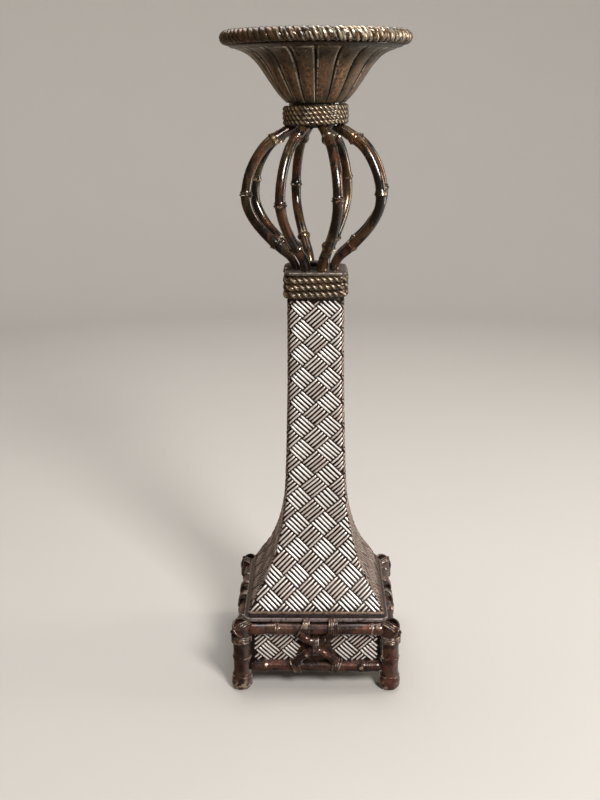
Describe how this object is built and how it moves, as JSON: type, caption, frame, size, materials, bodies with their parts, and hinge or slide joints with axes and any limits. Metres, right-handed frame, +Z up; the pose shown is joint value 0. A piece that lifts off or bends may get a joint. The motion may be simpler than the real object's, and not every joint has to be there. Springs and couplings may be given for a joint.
{
  "type": "pillar candle stand",
  "caption": "Tall resin candle stand: lobed bowl on a cage of bowed bamboo canes, square basket-woven column flaring to a bamboo-railed plinth.",
  "frame": {"origin": "on the ground, under the middle of the stand", "axes": "+Z up along the column, front face towards -Y, +X to the right seen from the front"},
  "size_m": [0.171, 0.171, 0.6123],
  "materials": {
    "bronze": "cast resin, antique bronze paint, near-black brown rubbed to copper red, glossy",
    "bowl_bronze": "cast resin, olive-brown antique bronze paint mottled with copper, satin",
    "rope": "cast resin rope, dark brown with dry-brushed silver-gold crests",
    "weave": "cast resin weave, silvered strands with dark brown gaps",
    "gilt": "gold-brown paint, worn",
    "dark_board": "dark grey-brown paint, satin",
    "core": "unpainted filling, not seen",
    "steel": "zinc plated"
  },
  "bodies": {
    "root": {"bowl": "bowl_bronze", "rim_rope": "rope", "bowl_screw": "steel", "bowl_washer": "steel", "neck_hub": "bronze", "neck_rope": "rope", "cap_plate": "dark_board", "cap_washer": "steel", "cap_nut": "bronze", "collar_rope": "rope", "column_core": "core", "woven_sleeve": "weave", "foot_binding": "gilt", "step_board": "dark_board", "deck_board": "dark_board", "base_core": "core", "tie_rod": "steel", "base_nut": "steel", "base_washer": "steel", "cane_1": "bronze", "cane_2": "bronze", "cane_3": "bronze", "cane_4": "bronze", "cane_5": "bronze", "cane_6": "bronze", "cane_7": "bronze", "cane_8": "bronze", "post_1": "bronze", "corner_lashing_1": "rope", "top_rail_front": "bronze", "low_rail_front": "bronze", "apron_front": "weave", "hanging_arc_front": "bronze", "rising_arc_front": "bronze", "arc_tie_front": "rope", "post_2": "bronze", "corner_lashing_2": "rope", "top_rail_right": "bronze", "low_rail_right": "bronze", "apron_right": "weave", "hanging_arc_right": "bronze", "rising_arc_right": "bronze", "arc_tie_right": "rope", "post_3": "bronze", "corner_lashing_3": "rope", "top_rail_back": "bronze", "low_rail_back": "bronze", "apron_back": "weave", "hanging_arc_back": "bronze", "rising_arc_back": "bronze", "arc_tie_back": "rope", "post_4": "bronze", "corner_lashing_4": "rope", "top_rail_left": "bronze", "low_rail_left": "bronze", "apron_left": "weave", "hanging_arc_left": "bronze", "rising_arc_left": "bronze", "arc_tie_left": "rope"}
  },
  "joints": []
}
